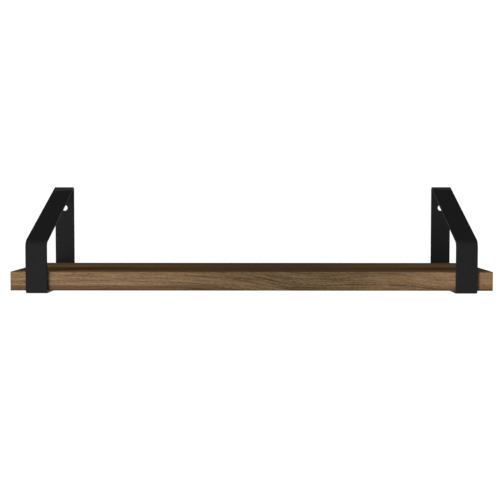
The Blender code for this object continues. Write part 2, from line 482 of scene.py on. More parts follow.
def sprayed_grain_group(finer: float = 2.3, cell_share: float = 0.6, fine_share: float = 0.5,
                        clouds_per_metre: float = 60.0) -> bpy.types.NodeTree:
    """The fine orange peel of a sprayed coat: cells and a finer noise, and a slow unevenness."""
    tree, w, given, result = new_group(
        "sprayed_grain", {"Place": VECTOR, "Grains Per Metre": FLOAT}, {"Height": FLOAT, "Tone": FLOAT})
    place, scale = given.outputs["Place"], given.outputs["Grains Per Metre"]
    cells = w.fill(w.node("ShaderNodeTexVoronoi", feature="SMOOTH_F1"), vector=place, scale=scale)
    fine = w.noise(place, w.times(scale, finer), 3.0, 0.6)
    height = w.plus(w.times(cells.outputs["Distance"], cell_share), w.times(fine, fine_share))
    w.fill(result, height=height, tone=w.noise(place, clouds_per_metre, 3.0, 0.6))
    return tree


class Groups:
    """The shared effects, each built once."""

    def __init__(self) -> None:
        """Builds every group."""
        self.sweep = grain_sweep_group()
        self.walnut = WalnutFigure().group()
        self.rub = edge_rub_group()
        self.spray = sprayed_grain_group()


# ---------------------------------------------------------------- finishes
def start_material(name: str, **constants: float) -> tuple[bpy.types.Material, Wiring, bpy.types.Node]:
    """A new material with its wiring and its Principled shader.

    Args:
        name: the material's name.
        **constants: shader inputs by name, with _ for a space, that are the same all over.

    Returns:
        The material, its wiring and its shader node.
    """
    material = bpy.data.materials.new(name)
    material.use_nodes = True
    shader = material.node_tree.nodes["Principled BSDF"]
    names = {key.name.lower(): key for key in shader.inputs}
    for key, value in constants.items():
        names[key.replace("_", " ")].default_value = value
    return material, Wiring(material.node_tree), shader


def toned(color: Color, factor: float) -> Color:
    """A colour made darker or brighter by a factor."""
    return tuple(factor * part for part in color)


@dataclass(frozen=True)
class Sweep:
    """One place where the grain falls from left to right."""

    centre: float
    half_width: float
    drop: float


@dataclass(frozen=True)
class WalnutFinish:
    """Satin-lacquered walnut. Its grain lies along X, or along Y after a quarter turn.

    The shares from rings to pores say how much each part of the figure counts.
    """

    name: str
    turn: float = 0.0
    pale: Color = (0.325, 0.198, 0.098)
    dark: Color = (0.095, 0.053, 0.024)
    pore: Color = (0.030, 0.016, 0.009)
    shift: tuple[float, float, float] = (0.0, 0.0, 0.0)
    sweeps: tuple[Sweep, ...] = ()
    ring_pitch: float = 3.3 * MM
    wander: float = 1.0
    base_shade: float = 0.25
    rings: float = 0.45
    bands: float = 0.80
    streaks: float = 2.0
    dashes: float = 1.2
    fibres: float = 0.60
    pores: float = 0.50
    rough: float = 0.60
    pore_rough: float = 0.15
    streak_rough: float = 0.12
    gloss_level: float = 0.15
    relief: float = 0.06 * MM
    relief_strength: float = 0.5
    fibre_relief: float = 0.25
    pore_relief: float = 0.6

    def material(self, groups: Groups) -> bpy.types.Material:
        """The finish as a material."""
        material, w, shader = start_material(self.name, specular_ior_level=self.gloss_level)
        grain = self.swept_place(groups, w)
        figure = w.group(groups.walnut, place=w.vector("ADD", grain, self.shift),
                         ring_pitch=self.ring_pitch, wander=self.wander).outputs
        wood = w.mix(self.figure_share(w, figure, grain), self.pale, self.dark)
        wood = self.stained(w, wood, grain)
        wood = w.mix(w.times(figure["Pores"], self.pores), wood, self.pore)
        rough = w.plus(self.rough, w.times(figure["Pores"], self.pore_rough))
        rough = w.plus(rough, w.swing(figure["Streaks"], self.streak_rough))
        height = w.minus(w.times(figure["Fibres"], self.fibre_relief),
                         w.times(figure["Pores"], self.pore_relief))
        normal = w.bump(height, self.relief, self.relief_strength)
        w.fill(shader, base_color=wood, roughness=rough, normal=normal)
        return material

    def swept_place(self, groups: Groups, w: Wiring) -> Socket:
        """The place on the object after each sweep of the grain."""
        place = w.object_place(self.turn)
        for sweep in self.sweeps:
            place = w.group(groups.sweep, place=place, centre=sweep.centre,
                            half_width=sweep.half_width, drop=sweep.drop).outputs["Place"]
        return place

    def figure_share(self, w: Wiring, figure: bpy.types.NodeOutputs, grain: Socket) -> Socket:
        """How much of the dark tone shows: the sum of the figure's parts, each about its middle."""
        shade = w.times(figure["Rings"], self.ring_strength(w, grain))
        for key, share in (("Bands", self.bands), ("Streaks", self.streaks),
                           ("Dashes", self.dashes), ("Fibres", self.fibres)):
            shade = w.plus(shade, w.swing(figure[key], share))
        return w.plus(w.times(shade, self.contrast(w, grain)), self.base_shade, clamp=True)

    def contrast(self, w: Wiring, grain: Socket) -> Value:
        """How strong the whole figure is: the same all over in the plain finish."""
        return 1.0

    def ring_strength(self, w: Wiring, grain: Socket) -> Value:
        """How dark the late wood is: the same all over in the plain finish."""
        return self.rings

    def stained(self, w: Wiring, wood: Socket, grain: Socket) -> Socket:
        """Darker wood in broad places. The plain finish has none."""
        return wood


@dataclass(frozen=True)
class FrontWalnut(WalnutFinish):
    """The front band: straight grain at both ends, darker heart wood that sweeps down past the
    middle, and darker lines along the foot and the top arris.

    A ramp named along goes by the distance along the shelf, heights are counted from the band's
    foot, and the crest's from its top.
    """

    sweeps: tuple[Sweep, ...] = (
        Sweep(-35 * MM, 50 * MM, 12 * MM), Sweep(25 * MM, 22 * MM, 10 * MM),
        Sweep(215 * MM, 25 * MM, 6 * MM))
    wander: float = 0.4
    foot: float = 0.0
    crest: float = 0.0
    line_tone: float = 0.55
    heart_rings: float = 0.5
    heart_contrast: float = 0.2
    heart_tint: Color = (0.54, 0.57, 0.55)
    heart_rise_along: Ramp = Ramp(-255 * MM, 50 * MM)
    heart_fall_along: Ramp = Ramp(60 * MM, 290 * MM, 1.0, 0.0)
    heart_height: Ramp = Ramp(14 * MM, 23 * MM, 0.8, 1.0)
    streak_height: Ramp = Ramp(5.2 * MM, 8.0 * MM, 0.62, 0.0)
    streak_climb_along: Ramp = Ramp(-140 * MM, -50 * MM, 0.0, 4 * MM)
    line_height: float = 29.3 * MM
    line_fade: Ramp = Ramp(0.2 * MM, 1.6 * MM, 0.55, 0.0)
    line_along: Ramp = Ramp(195 * MM, 222 * MM)
    right_height: Ramp = Ramp(2 * MM, 7 * MM, 1.0, 0.0)
    right_along: Ramp = Ramp(20 * MM, 110 * MM, 0.0, 0.22)
    right_end_along: Ramp = Ramp(262 * MM, 288 * MM, 0.0, 0.30)
    lowest_height: Ramp = Ramp(0.8 * MM, 3.2 * MM, 1.0, 0.0)
    lowest_along: Ramp = Ramp(-180 * MM, -30 * MM, 0.75, 0.08)
    crest_height: Ramp = Ramp(-1.9 * MM, -0.5 * MM)
    crest_share: float = 0.42
    crest_heart: float = 0.20

    def heart_along(self, w: Wiring, grain: Socket) -> Socket:
        """How much of the heart wood shows at a distance along, from 0 to 1."""
        x = w.split(grain)[0]
        return w.times(self.heart_rise_along.at(w, x), self.heart_fall_along.at(w, x))

    def ring_strength(self, w: Wiring, grain: Socket) -> Value:
        """The late wood grows darker towards the heart."""
        return w.plus(self.rings, w.times(self.heart_along(w, grain), self.heart_rings))

    def contrast(self, w: Wiring, grain: Socket) -> Value:
        """The streaks grow stronger towards the heart."""
        return w.plus(1.0, w.times(self.heart_along(w, grain), self.heart_contrast))

    def stained(self, w: Wiring, wood: Socket, grain: Socket) -> Socket:
        """The heart's tone by the distance along, paler at its foot, then the darker lines: the
        foot streak, which follows the grain out of the board, a late line near the right end, the
        foot's right half, the lowest arris and the crest."""
        x, _, level = w.split(grain)
        z = w.split(w.object_place())[2]
        heart = self.heart_along(w, grain)
        above = self.heart_height.at(w, level, self.foot)
        wood = w.mix(w.times(heart, above), wood, self.heart_tint, "MULTIPLY")
        under = w.minus(level, self.streak_climb_along.at(w, x))
        off_line = w.math("ABSOLUTE", w.minus(level, self.foot + self.line_height))
        right = w.plus(self.right_along.at(w, x), self.right_end_along.at(w, x))
        crest = w.minus(self.crest_share, w.times(heart, self.crest_heart))
        lines = (
            self.streak_height.at(w, under, self.foot),
            w.times(self.line_along.at(w, x), self.line_fade.at(w, off_line)),
            w.times(right, self.right_height.at(w, z, self.foot)),
            w.times(self.lowest_along.at(w, x), self.lowest_height.at(w, z, self.foot)),
            w.times(crest, self.crest_height.at(w, z, self.crest)),
        )
        for line in lines:
            wood = w.mix(line, wood, toned(self.dark, self.line_tone))
        return wood


@dataclass(frozen=True)
class TopWalnut(WalnutFinish):
    """The top facing: paler at the back, with a red-brown streak along the front that is deepest at
    both ends of the shelf, and darker wood over the middle length."""

    loose_wander: Stretched = Stretched(5.0, 42.0, 4.0, 0.6)
    loose_reach: float = 30 * MM
    fine_wander: Stretched = Stretched(14.0, 420.0, 3.0, 0.6)
    fine_reach: float = 27 * MM
    streak_y: float = -131 * MM
    streak_fade: Ramp = Ramp(9 * MM, 58 * MM, 1.0, 0.0)
    streak_tint: Color = (0.87, 0.77, 0.58)
    end_tint: Color = (0.43, 0.35, 0.26)
    end_rise: Ramp = Ramp(60 * MM, 240 * MM)
    middle_x: float = 28 * MM
    middle_fade: Ramp = Ramp(30 * MM, 290 * MM, 0.86, 0.0)
    middle_tint: Color = (0.47, 0.44, 0.46)
    back_rise: Ramp = Ramp(-76 * MM, -30 * MM, 0.0, 0.36)
    back_color: Color = (0.06, 0.04, 0.024)

    def stained(self, w: Wiring, wood: Socket, grain: Socket) -> Socket:
        """Darker wood by the distance from the middle length, a duller strip at the back, and the
        streak by the distance from its own line, redder at the ends. Two noises of the place make
        the strip's and the streak's borders ragged."""
        x, y, _ = w.split(grain)
        ragged = w.plus(w.swing(self.loose_wander.at(w, grain), self.loose_reach),
                        w.swing(self.fine_wander.at(w, grain), self.fine_reach))
        off_streak = w.plus(w.math("ABSOLUTE", w.minus(y, self.streak_y)), ragged)
        off_middle = w.math("ABSOLUTE", w.minus(x, self.middle_x))
        wood = w.mix(self.middle_fade.at(w, off_middle), wood, self.middle_tint, "MULTIPLY")
        wood = w.mix(self.back_rise.at(w, w.plus(y, ragged)), wood, self.back_color)
        tint = w.mix(self.end_rise.at(w, off_middle), self.streak_tint, self.end_tint)
        return w.mix(self.streak_fade.at(w, off_streak), wood, tint, "MULTIPLY")


@dataclass(frozen=True)
class PowderCoatFinish:
    """Matt black powder coat with a fine sprayed grain, rubbed a little along its edges, and with a painted
    highlight in a band just below the top bend. The band's depth grows outwards by its slant."""

    name: str
    middle_x: float
    top_z: float
    highlight_band_reach: float
    color: Color = (0.0175, 0.0175, 0.0180)
    # The colour of the rubbed edges. The painted highlight band below the top bend uses it too.
    rubbed: Color = (0.055, 0.055, 0.056)
    gloss_level: float = 0.03
    grains_per_metre: float = 1500.0
    tone_reach: float = 0.5
    tone_spread: float = 0.2
    edge_rub: float = 0.35
    # The band fields below place the painted highlight just under the top bend, where lighter coat stands
    # in for light on the sloping leg.
    highlight_band_slant: float = 0.16
    highlight_band_fade: Ramp = Ramp(-1.5 * MM, 1.5 * MM, 0.78, 0.0)
    highlight_band_height: Ramp = Ramp(-14.8 * MM, -10.8 * MM)
    highlight_band_y: Ramp = Ramp(-8 * MM, -5 * MM, 1.0, 0.0)
    rough: float = 0.60
    grain_rough: float = 0.12
    relief: float = 0.05 * MM
    relief_strength: float = 0.6

    def material(self, groups: Groups) -> bpy.types.Material:
        """The finish as a material."""
        material, w, shader = start_material(self.name, specular_ior_level=self.gloss_level)
        place = w.object_place()
        grain = w.group(groups.spray, place=place, grains_per_metre=self.grains_per_metre).outputs
        rub = w.group(groups.rub, place=place, arris=w.attribute("arris"), amount=self.edge_rub)
        tone = w.plus(0.5, w.swing(grain["Tone"], self.tone_reach), clamp=True)
        coat = w.mix(tone, toned(self.color, 1 - self.tone_spread), toned(self.color, 1 + self.tone_spread))
        # The lighter colour shows on the worn edges and in the painted highlight band, whichever share is
        # greater.
        bare = w.math("MAXIMUM", rub.outputs["Rub"], self.painted_highlight_band(w, place))
        w.fill(shader, base_color=w.mix(bare, coat, self.rubbed),
               roughness=w.plus(self.rough, w.times(grain["Height"], self.grain_rough)),
               normal=w.bump(grain["Height"], self.relief, self.relief_strength))
        return material

    def painted_highlight_band(self, w: Wiring, place: Socket) -> Socket:
        """A painted highlight on the sloping leg, a lighter coat colour in a band just below the top bend:
        it ends at its reach from the wall, less the slant times the distance outwards from the strap's
        middle, and stays off the back leg."""
        x, y, z = w.split(place)
        outward = w.times(w.minus(w.math("ABSOLUTE", x), self.middle_x), self.highlight_band_slant)
        depth = w.minus(w.times(y, -1.0), outward)
        high = w.times(self.highlight_band_height.at(w, z, self.top_z), self.highlight_band_y.at(w, y))
        return w.times(self.highlight_band_fade.at(w, depth, self.highlight_band_reach), high)


@dataclass(frozen=True)
class ChipboardFinish:
    """Raw particleboard: flakes of many tones lying along the board."""

    name: str = "raw_chipboard"
    flakes_per_metre: float = 320.0
    flake_shape: tuple[float, float, float] = (1.0, 1.6, 2.4)
    pale: Color = (0.52, 0.38, 0.22)
    dark: Color = (0.30, 0.20, 0.11)
    fibre: Color = (0.60, 0.47, 0.30)
    fibre_share: float = 0.4
    relief: float = 0.2 * MM

    def material(self, groups: Groups) -> bpy.types.Material:
        """The finish as a material."""
        material, w, shader = start_material(self.name, roughness=0.9, specular_ior_level=0.2)
        place = w.object_place()
        flakes = w.fill(w.node("ShaderNodeTexVoronoi", feature="F1"), scale=self.flakes_per_metre,
                        vector=w.vector("MULTIPLY", place, self.flake_shape))
        flake = w.mix(w.split(flakes.outputs["Color"])[0], self.pale, self.dark)
        figure = w.group(groups.walnut, place=place, ring_pitch=2 * MM, wander=1.0)
        fibrous = w.times(figure.outputs["Fibres"], self.fibre_share)
        w.fill(shader, base_color=w.mix(fibrous, flake, self.fibre),
               normal=w.bump(flakes.outputs["Distance"], self.relief))
        return material


@dataclass(frozen=True)
class BlackOxideFinish:
    """Blackened screw steel, brighter where the driver has rubbed it."""

    name: str = "black_oxide_steel"
    stains_per_metre: float = 700.0
    dark: Color = (0.030, 0.030, 0.033)
    stained: Color = (0.060, 0.058, 0.058)
    bright: Color = (0.28, 0.28, 0.29)
    driver_rub: float = 0.6
    rough: float = 0.30
    stain_rough: float = 0.2
    relief: float = 0.02 * MM
    relief_strength: float = 0.5

    def material(self, groups: Groups) -> bpy.types.Material:
        """The finish as a material."""
        material, w, shader = start_material(self.name, metallic=1.0)
        place = w.object_place()
        rub = w.group(groups.rub, place=place, arris=w.attribute("arris"), amount=self.driver_rub)
        stain = w.noise(place, self.stains_per_metre, 4.0, 0.6)
        steel = w.mix(stain, self.dark, self.stained)
        w.fill(shader, base_color=w.mix(rub.outputs["Rub"], steel, self.bright),
               roughness=w.plus(self.rough, w.times(stain, self.stain_rough)),
               normal=w.bump(stain, self.relief, self.relief_strength))
        return material


# ---------------------------------------------------------------- board
@dataclass
class Board:
    """The walnut board: chipboard core, two facings and four edge bands. The bands are drawn a
    little further in than their nodes, over the glue gap, and the end bands also towards the
    front and back ones."""

    frame: dict
    groups: Groups
    reach_in: float = 0.28 * MM
    end_reach: float = 0.26 * MM
    arris_radius: float = 0.45 * MM
    top_finish: WalnutFinish = TopWalnut(
        "walnut_top", pale=(0.43, 0.255, 0.12), dark=(0.12, 0.066, 0.028), shift=(0.0, 60 * MM, 0.0),
        rough=0.8, gloss_level=0.03)
    under_finish: WalnutFinish = WalnutFinish(
        "walnut_underside", shift=(310 * MM, 60 * MM, 20 * MM), rings=0.65)
    back_finish: WalnutFinish = WalnutFinish("walnut_back", shift=(110 * MM, 20 * MM, 0.0))
    left_finish: WalnutFinish = WalnutFinish("walnut_left_end", turn=math.pi / 2, wander=0.5)
    right_finish: WalnutFinish = WalnutFinish("walnut_right_end", turn=-math.pi / 2, wander=0.5)

    def build(self) -> None:
        """Makes the four bands and dresses the core and the facings."""
        nodes = self.frame["nodes"]
        dress_node(nodes["board_core"], ChipboardFinish().material(self.groups))
        dress_node(nodes["top_veneer"], self.top_finish.material(self.groups))
        dress_node(nodes["bottom_veneer"], self.under_finish.material(self.groups))
        low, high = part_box("front_edge_band")
        along_y, along_x = Vector((0, self.reach_in, 0)), Vector((self.reach_in, 0, 0))
        still = Vector()
        self.band("front_edge_band", still, along_y, FrontWalnut("walnut_front", foot=low.z, crest=high.z))
        self.band("back_edge_band", -along_y, still, self.back_finish)
        self.band("left_end_band", still, along_x, self.left_finish)
        self.band("right_end_band", -along_x, still, self.right_finish)

    def band(self, node: str, low_in: Vector, high_in: Vector, finish: WalnutFinish) -> None:
        """One edge band with eased arrises.

        Args:
            node: the band's node in the frame.
            low_in: what its lowest corner moves by.
            high_in: what its highest corner moves by.
            finish: its finish.
        """
        low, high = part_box(node)
        close = Vector((0, self.end_reach if "end_band" in node else 0.0, 0))
        piece = rounded_block(f"{node}_strip", low + low_in - close, high + high_in + close,
                              self.arris_radius)
        fit_out(piece, finish.material(self.groups), Slot.WALNUT, node)


# ---------------------------------------------------------------- brackets
# How far out from the wall each bracket's painted highlight band reaches.
HIGHLIGHT_BAND_REACH = {Side.LEFT: 18.5 * MM, Side.RIGHT: 14.0 * MM}


@dataclass(frozen=True)
class Corner:
    """One corner of the strap's side view: where its straight runs would meet, and its two radii."""

    y: float
    z: float
    outer_radius: float
    inner_radius: float


@dataclass(frozen=True)
class Hole:
    """A round hole through a straight run, by its distance from the run's first corner."""

    run: int
    distance: float
    radius: float


@dataclass
class StrapPath:
    """The strap's stations in side view: outer and inner points, the outward direction, how deep
    in a bend each is, and the first station of each hole's window."""

    outer: np.ndarray
    inner: np.ndarray
    outward: np.ndarray
    bend: np.ndarray
    windows: dict[Hole, int]


@dataclass
class Bracket:
    """A flat bar bent to a closed loop, with its long edges rounded and its holes rimmed.

    Each pair of radii is a corner's outer one and its inner one.
    """

    side: Side
    groups: Groups
    thickness: float = 3.2 * MM
    back_corner_height: float = 138.5 * MM
    front_corner_height: float = 65.7 * MM
    joint_radii: tuple[float, float] = (0.8 * MM, 0.1 * MM)
    tight_radii: tuple[float, float] = (4.0 * MM, 0.8 * MM)
    soft_radii: tuple[float, float] = (10.2 * MM, 4.6 * MM)
    wall_hole_height: float = 106.9 * MM
    wall_hole_radius: float = 4.1 * MM
    screw_hole_radius: float = 2.3 * MM
    screw_setbacks: tuple[float, float] = (45 * MM, 145 * MM)
    edge_radius: float = 0.5 * MM
    rim_radius: float = 0.3 * MM
    rim_steps: int = 4
    window_half: float = 8 * MM
    window_steps: int = 12
    window_ring_shares: tuple[float, ...] = (0.35, 0.65, 0.86)
    bend_steps: int = 22
    edge_steps: int = 4
    bulge: float = 0.010
    weld_half_width: float = 2.1 * MM
    weld_height: float = 0.32 * MM
    weld_lift: float = 0.05 * MM
    weld_inset: float = 0.6 * MM
    weld_end_gap: float = 0.9 * MM
    weld_bluntness: float = 0.02
    weld_rows: int = 90
    weld_around: int = 24
    ripple_pitch: float = 1.5 * MM
    ripple_depth: float = 0.22

    def __post_init__(self) -> None:
        """Reads the loop's overall sizes from its node in the frame."""
        self.node = f"{self.side.word}_bracket"
        low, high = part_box(self.node)
        self.centre_x, self.width = (low.x + high.x) / 2, high.x - low.x
        self.wall_y, self.base_z, self.top_z, self.reach = high.y, low.z, high.z, high.y - low.y

    def corners(self) -> list[Corner]:
        """Foot at the wall, top, front bend and front foot, in the order of the path."""
        joint = Corner(0.0, 0.0, *self.joint_radii)
        top = Corner(0.0, self.back_corner_height, *self.tight_radii)
        front = Corner(-self.reach, self.front_corner_height, *self.soft_radii)
        foot = Corner(-self.reach, 0.0, *self.tight_radii)
        return [joint, top, front, foot]

    def holes(self) -> list[Hole]:
        """The wall hole in the back leg and the two screw holes in the bottom leg."""
        back_leg, bottom_leg = 0, 3
        wall = Hole(back_leg, self.wall_hole_height, self.wall_hole_radius)
        screws = [Hole(bottom_leg, self.reach - setback, self.screw_hole_radius)
                  for setback in self.screw_setbacks]
        return [wall, *screws]

    def path(self) -> StrapPath:
        """The closed path of stations: an arc at each corner, and a window of even stations for
        each hole on the straight runs.

        At a corner both faces turn through the same directions d: the outer point is the outer
        arc's centre plus its radius times d, and the inner point the same with the inner arc. An
        arc's centre is the corner less its depth times the middle, which is the two runs' outward
        normals' sum over one plus their product.
        """
        corners = self.corners()
        places = [np.array([corner.y, corner.z]) for corner in corners]
        outer, inner, outward, bend = [], [], [], []
        windows: dict[Hole, int] = {}
        for index, corner in enumerate(corners):
            place, after = places[index], places[(index + 1) % 4]
            first, second = outward_of(place - places[index - 1]), outward_of(after - place)
            start, turn = math.atan2(first[1], first[0]), math.acos(float(first @ second))
            angle = start + turn * np.linspace(0, 1, self.bend_steps + 1)
            d = np.stack([np.cos(angle), np.sin(angle)], axis=1)
            middle = (first + second) / (1 + first @ second)
            outer.append(place + corner.outer_radius * (d - middle))
            inner.append(place - self.thickness * middle + corner.inner_radius * (d - middle))
            outward.append(d)
            bend.append(np.sin(np.linspace(0, math.pi, self.bend_steps + 1)) ** 0.5)
            along = (after - place) / np.linalg.norm(after - place)
            for hole in sorted((h for h in self.holes() if h.run == index), key=lambda h: h.distance):
                stops = hole.distance + np.linspace(-1, 1, self.window_steps + 1) * self.window_half
                line = place + stops[:, None] * along
                windows[hole] = sum(map(len, outer))
                outer.append(line)
                inner.append(line - self.thickness * second)
                outward.append(np.broadcast_to(second, line.shape))
                bend.append(np.zeros(len(line)))
        return StrapPath(np.vstack(outer), np.vstack(inner), np.vstack(outward),
                         np.concatenate(bend), windows)

    def section(self) -> tuple[np.ndarray, np.ndarray, np.ndarray, np.ndarray]:
        """The bar's section: a rectangle with round corners, from the outer face round. Its second
        half is the first one turned half round.

        Returns:
            Distance across, depth as a share of the thickness, normal across and normal outward.
        """
        half, radius, deep = self.width / 2, self.edge_radius, self.thickness
        flat = np.concatenate([[-(half - radius)],
                               np.linspace(-1, 1, self.window_steps + 1) * self.window_half,
                               [half - radius]])
        turn = np.linspace(0, math.pi / 2, self.edge_steps + 1)[1:-1]
        s, c = np.sin(turn), np.cos(turn)
        across = np.concatenate([flat, half - radius * (1 - s), [half, half], half - radius * (1 - c)])
        depth = np.concatenate([0 * flat, radius * (1 - c), [radius, deep - radius],
                                deep - radius * (1 - s)]) / deep
        normal_x = np.concatenate([0 * flat, s, [1, 1], c])
        normal_out = np.concatenate([0 * flat + 1, c, [0, 0], -s])
        return (np.concatenate([across, -across]), np.concatenate([depth, 1 - depth]),
                np.concatenate([normal_x, -normal_x]), np.concatenate([normal_out, -normal_out]))

    def build(self) -> None:
        """Makes the strap loop and the dressed weld at its lower back corner."""
        finish = PowderCoatFinish(f"black_powder_coat_{self.side.word}", abs(self.centre_x),
                                  self.top_z, HIGHLIGHT_BAND_REACH[self.side])
        material = finish.material(self.groups)
        fit_out(self.strap(), material, Slot.COATING, self.node)
        fit_out(self.weld(), material, Slot.COATING)

    def strap(self) -> bpy.types.Object:
        """The strap as a surface of two parameters: station along the path and place round the
        section. A point is the station's outer point moved towards its inner point by the depth
        share, with the section's distance across as its X. Inside a bend the bar is a little wider
        on its inner face and narrower on its outer one. Each hole replaces a square window of both
        faces by rings that run from the window's border to the hole, through it and out again."""
        path = self.path()
        across, depth, normal_x, normal_out = self.section()
        wide = 1 + self.bulge * path.bend[:, None] * (2 * depth[None, :] - 1)
        side_view = path.outer[:, None] + depth[None, :, None] * (path.inner - path.outer)[:, None]
        points = np.concatenate([(across[None, :] * wide)[..., None], side_view], axis=-1)
        shape = (len(path.outer), len(across))
        normals = np.concatenate([
            np.broadcast_to(normal_x[None, :, None], (*shape, 1)),
            normal_out[None, :, None] * path.outward[:, None],
        ], axis=-1)
        on_arris = np.minimum(np.abs(normal_x), np.abs(normal_out)) > 0.01
        arris = np.broadcast_to(on_arris.astype(float)[None, :], shape)
        quads = grid_quads(*shape, True, True)
        keep = np.ones(len(quads), bool)
        steps = self.window_steps
        inner_first = (steps + 3) + (self.edge_steps - 1) + 2 + (self.edge_steps - 1)
        extra_points, extra_normals, extra_quads = [], [], []
        total = arris.size
        for hole, first in path.windows.items():
            inside = np.arange(first, first + steps)[:, None] * shape[1]
            for start in (1, inner_first + 1):
                keep[(inside + np.arange(start, start + steps)[None, :]).ravel()] = False
            ring_points, ring_normals, ring_quads = self.punched(path, hole, first, inner_first,
                                                                 shape[1], total)
            extra_points.append(ring_points)
            extra_normals.append(ring_normals)
            extra_quads.append(ring_quads)
            total += len(ring_points)
        points = np.concatenate([points.reshape(-1, 3), *extra_points])
        normals = np.concatenate([normals.reshape(-1, 3), *extra_normals])
        quads = np.concatenate([quads[keep], *extra_quads])
        arris = np.concatenate([arris.ravel(), np.zeros(len(points) - arris.size)])
        used, quads = np.unique(quads, return_inverse=True)
        quads = quads.reshape(-1, 4)
        points, normals, arris = points[used], normals[used], arris[used]
        points = points + np.array([self.centre_x, self.wall_y, self.base_z])
        return add_piece(f"{self.side.word}_strap_loop", points, quads, normals=normals, arris=arris)

    def punched(self, path: StrapPath, hole: Hole, first: int, inner_first: int, columns: int,
                next_number: int) -> tuple[np.ndarray, np.ndarray, np.ndarray]:
        """Rings that join a window's border on the outer face to the same border on the inner one,
        through the hole.

        Args:
            path: the strap's stations.
            hole: the hole.
            first: the window's first station.
            inner_first: the section's first place on the inner face.
            columns: places round the section.
            next_number: the number that the first new vertex takes.

        Returns:
            The new vertices, their normals and the quads, which also use the border's vertices.
        """
        steps = self.window_steps
        sweep = np.arange(steps)
        column = np.concatenate([sweep, np.full(steps, steps), steps - sweep, np.zeros(steps, int)])
        station = np.concatenate([np.zeros(steps, int), sweep, np.full(steps, steps), steps - sweep])
        border_outer = (first + station) * columns + 1 + column
        border_inner = (first + station) * columns + inner_first + 1 + (steps - column)
        square = (np.stack([column, station], axis=1) / steps * 2 - 1) * self.window_half
        lowest_corner = math.radians(-135)
        angle = lowest_corner + 2 * math.pi * np.arange(4 * steps) / (4 * steps)
        circle = np.stack([np.cos(angle), np.sin(angle)], axis=1)
        plane, deep, lean, face = self.rings_through(hole, square, circle)
        middle, out = path.outer[first + steps // 2], path.outward[first]
        along = path.outer[first + 1] - path.outer[first]
        along = along / np.linalg.norm(along)
        side_view = middle + plane[..., 1:] * along - deep * out
        points = np.concatenate([plane[..., :1], side_view], axis=-1)
        towards = -np.broadcast_to(circle, plane.shape)
        normals = np.concatenate([lean * towards[..., :1],
                                  lean * towards[..., 1:] * along + face * out], axis=-1)
        new = next_number + np.arange(points[..., 0].size).reshape(len(points), -1)
        table = np.vstack([border_outer, new, border_inner])
        beside = np.roll(table, -1, axis=1)
        quads = np.stack([table[:-1], beside[:-1], beside[1:], table[1:]], axis=-1)
        return points.reshape(-1, 3), normals.reshape(-1, 3), quads.reshape(-1, 4)

    def rings_through(self, hole: Hole, square: np.ndarray, circle: np.ndarray) -> tuple[
            np.ndarray, np.ndarray, np.ndarray, np.ndarray]:
        """The rings between the window's border on one face and that on the other: in over the
        face, round the rim into the hole, and the same in mirror order on the far side.

        Args:
            hole: the hole.
            square: the window's border about the hole's middle.
            circle: the unit circle at the border's stations.

        Returns:
            The rings in the strap's plane, and each one's depth, and its normal's lean into the
            hole and share outward.
        """
        mouth = hole.radius + self.rim_radius
        lip = np.linspace(0, math.pi / 2, self.rim_steps + 1)[:, None, None]
        shares = np.array(self.window_ring_shares)[:, None, None]
        plane = np.concatenate([square + shares * (circle * mouth - square),
                                circle * (mouth - self.rim_radius * np.sin(lip))])
        deep = np.concatenate([0 * shares, self.rim_radius * (1 - np.cos(lip))])
        lean = np.concatenate([0 * shares, np.sin(lip)])
        face = np.sqrt(1 - lean**2)
        return (np.concatenate([plane, plane[::-1]]), np.concatenate([deep, self.thickness - deep[::-1]]),
                np.concatenate([lean, lean[::-1]]), np.concatenate([face, -face[::-1]]))

    def weld(self) -> bpy.types.Object:
        """The dressed weld across the underside, where the bottom leg meets the back leg.

        Its section is a flat ellipse, scaled by the root of one less the eighth power of the share
        along, so that it shrinks only at its two ends. Its height carries the curved ripples that a
        torch leaves, a cosine of the distance along plus a bow across.
        """
        u = np.linspace(-1, 1, self.weld_rows)[:, None]
        v = np.linspace(0, 2 * math.pi, self.weld_around, endpoint=False)[None, :]
        swell = np.maximum(1 - u**8, self.weld_bluntness) ** 0.5
        x = u * (self.width / 2 - self.weld_end_gap)
        y = self.weld_half_width * np.cos(v) * swell
        bowed = x + 0.5 * y**2 / self.weld_half_width
        ripple = 1 + self.ripple_depth * np.cos(2 * math.pi * bowed / self.ripple_pitch)
        z = self.weld_height * np.sin(v) * swell * ripple
        points = np.stack([self.centre_x + x + 0 * v, self.wall_y - self.thickness - self.weld_inset + y,
                           self.base_z + self.weld_lift + z], axis=-1).reshape(-1, 3)
        quads = grid_quads(u.size, v.size, False, True)
        return add_piece(f"{self.side.word}_corner_weld", points, quads, end_caps(u.size, v.size))


def outward_of(direction: np.ndarray) -> np.ndarray:
    """The unit normal on the right of a direction of travel, which faces out of the loop."""
    return np.array([direction[1], -direction[0]]) / np.linalg.norm(direction)


